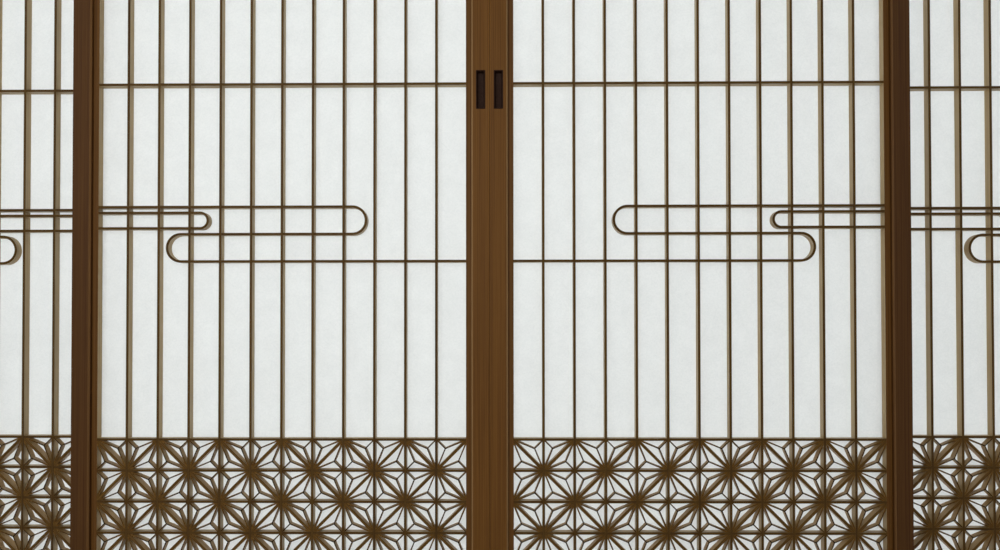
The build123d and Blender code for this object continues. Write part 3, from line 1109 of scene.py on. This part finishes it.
@dataclass
class Studio:
    """Pale floor, camera, a lamp in the room, left of the middle, and a narrow-beamed one behind the paper."""

    world_colour: Colour = (1.0, 0.99, 0.98)
    world_strength: float = 0.36
    floor_colour: Colour = (0.76, 0.755, 0.74)
    floor_half: float = 40.0
    floor_drop: float = 0.5 * MM
    lamps: tuple[Lamp, ...] = (
        Lamp("room_lamp", (-0.6, -1.6, 1.15), (0.0, 0.0, 0.65), (1.4, 1.0), 11.8, (1.0, 0.97, 0.93)),
        Lamp("yard_lamp", (0.0, 6.0, 3.2), (0.0, 0.0, 1.0), (6.0, 2.2), 77.0, (0.98, 0.99, 1.0),
             math.radians(64.0)),
    )

    def build_world(self) -> None:
        """Even pale light, with the ground's colour for the camera and for what shines."""
        world = bpy.data.worlds.new("studio")
        world.use_nodes = True
        tree = world.node_tree
        light = tree.nodes["Background"]
        light.inputs["Color"].default_value = (*self.world_colour, 1.0)
        light.inputs["Strength"].default_value = self.world_strength
        ground = tree.nodes.new("ShaderNodeBackground")
        ground.inputs["Color"].default_value = (*GROUND, 1.0)
        path = tree.nodes.new("ShaderNodeLightPath")
        seen = tree.nodes.new("ShaderNodeMath")
        seen.operation = "MAXIMUM"
        tree.links.new(path.outputs["Is Camera Ray"], seen.inputs[0])
        tree.links.new(path.outputs["Is Glossy Ray"], seen.inputs[1])
        shown = mix_shaders(tree, seen.outputs[0], light, ground)
        tree.links.new(shown.outputs[0], tree.nodes["World Output"].inputs["Surface"])
        bpy.context.scene.world = world

    def build_floor(self) -> None:
        """Plain floor just under the sill."""
        half, drop = self.floor_half, self.floor_drop
        mesh = bpy.data.meshes.new("floor")
        corners = [(-half, -half, -drop), (half, -half, -drop), (half, half, -drop), (-half, half, -drop)]
        mesh.from_pydata(corners, [], [(0, 1, 2, 3)])
        mesh.materials.append(FloorFinish("pale floor", self.floor_colour).material())
        floor = bpy.data.objects.new("floor", mesh)
        bpy.context.scene.collection.objects.link(floor)

    def build_camera(self) -> None:
        """Camera at the photograph's place, turned, tilted and rolled a little, and shifted as fitted."""
        data = bpy.data.cameras.new("camera")
        data.sensor_width = SENSOR_WIDTH_MM
        data.lens = FOCAL_PX * SENSOR_WIDTH_MM / PHOTO_WIDTH
        data.shift_y = (HORIZON_ROW - PHOTO_HEIGHT / 2) / PHOTO_WIDTH
        data.clip_start, data.clip_end = CAMERA_CLIP
        camera = bpy.data.objects.new("camera", data)
        camera.location = CAMERA_PLACE
        turn = Euler((math.pi / 2 + CAMERA_TILT_UP, 0.0, CAMERA_TURN_LEFT)).to_matrix()
        roll = Euler((0.0, 0.0, -CAMERA_ROLL)).to_matrix()
        camera.rotation_euler = (turn @ roll).to_euler()
        bpy.context.scene.collection.objects.link(camera)
        bpy.context.scene.camera = camera

    def build(self) -> None:
        """Set up the whole studio."""
        self.build_world()
        for lamp in self.lamps:
            lamp.build()
        self.build_floor()
        self.build_camera()
        bpy.context.scene.view_settings.view_transform = "Standard"


def make_finishes() -> Finishes:
    """Build the shared materials.

    Returns:
        The materials, by use.
    """
    return Finishes(
        frame_wood=WoodFinish("panel frame wood", (0.185, 0.080, 0.013), (0.112, 0.043, 0.006)).material(),
        # Chamfers: a paler copy of the frame wood, a painted highlight
        frame_chamfer_highlight=WoodFinish("painted highlight on frame chamfers", (0.360, 0.215, 0.090), (0.250, 0.140, 0.054)).material(),
        # Painted shade: the frame wood darker, for the stiles away from the meeting pair
        far_stile_shaded_wood=WoodFinish("far stile wood in painted shade", (0.099, 0.041, 0.0075), (0.060, 0.022, 0.0038)).material(),
        # Chamfers of the far stiles: a painted highlight dimmed by painted shade
        far_chamfer_shaded_highlight=WoodFinish("rubbed overlap edge", (0.172, 0.085, 0.026), (0.112, 0.049, 0.014)).material(),
        strip_wood=WoodFinish("border strip wood", (0.162, 0.071, 0.0135), (0.096, 0.038, 0.0062)).material(),
        # Painted shade: the bar faces darker than the frame wood
        shaded_bar_face=WoodFinish("lattice bar face in painted shade", (0.108, 0.056, 0.009), (0.062, 0.029, 0.005)).material(),
        star_face=WoodFinish("star bar face", (0.148, 0.075, 0.012), (0.091, 0.042, 0.0065)).material(),
        # Painted light: the bar sides paler, as lit by the paper behind
        lit_bar_side=WoodFinish("lattice bar side in painted light", (0.455, 0.330, 0.155), (0.330, 0.228, 0.096), roughness=0.40,
                            sheen_level=0.5).material(),
        # Leaf faces darken at the fork notches and over the narrow arm, painted shade
        leaf_face=WoodFinish("leaf strip face", (0.215, 0.106, 0.016), (0.135, 0.062, 0.009),
                             shade_gain=6.0).material(),
        # Painted light: the leaf and diagonal sides paler, as lit by the paper behind
        lit_leaf_side=WoodFinish("leaf strip side in painted light", (0.420, 0.275, 0.108), (0.300, 0.188, 0.068), roughness=0.46,
                             sheen_level=0.4).material(),
        track_wood=WoodFinish("track wood", (0.215, 0.100, 0.028), (0.125, 0.052, 0.013),
                              ring_pitch=0.0035).material(),
        paper=PaperFinish("screen paper", (0.915, 0.93, 0.925), 0.75).material(),
        pull=PullFinish("bronzed pull", (0.018, 0.007, 0.0035), (0.031, 0.014, 0.008)).material(),
    )


def main() -> None:
    """Build the screens, their frame and the studio."""
    logging.basicConfig(level=logging.INFO, format="%(name)s %(message)s")
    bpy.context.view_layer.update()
    finishes = make_finishes()
    OuterFrame(finishes).build()
    for panel in (
        Panel("inner_left", mist_side=1, pull_side=1, finishes=finishes, seed=10),
        Panel("inner_right", mist_side=-1, pull_side=-1, finishes=finishes, seed=20),
        Panel("outer_left", mist_side=-1, pull_side=-1, finishes=finishes, seed=30),
        Panel("outer_right", mist_side=1, pull_side=1, finishes=finishes, seed=40),
    ):
        panel.build()
    Studio().build()


if __name__ == "__main__":
    main()
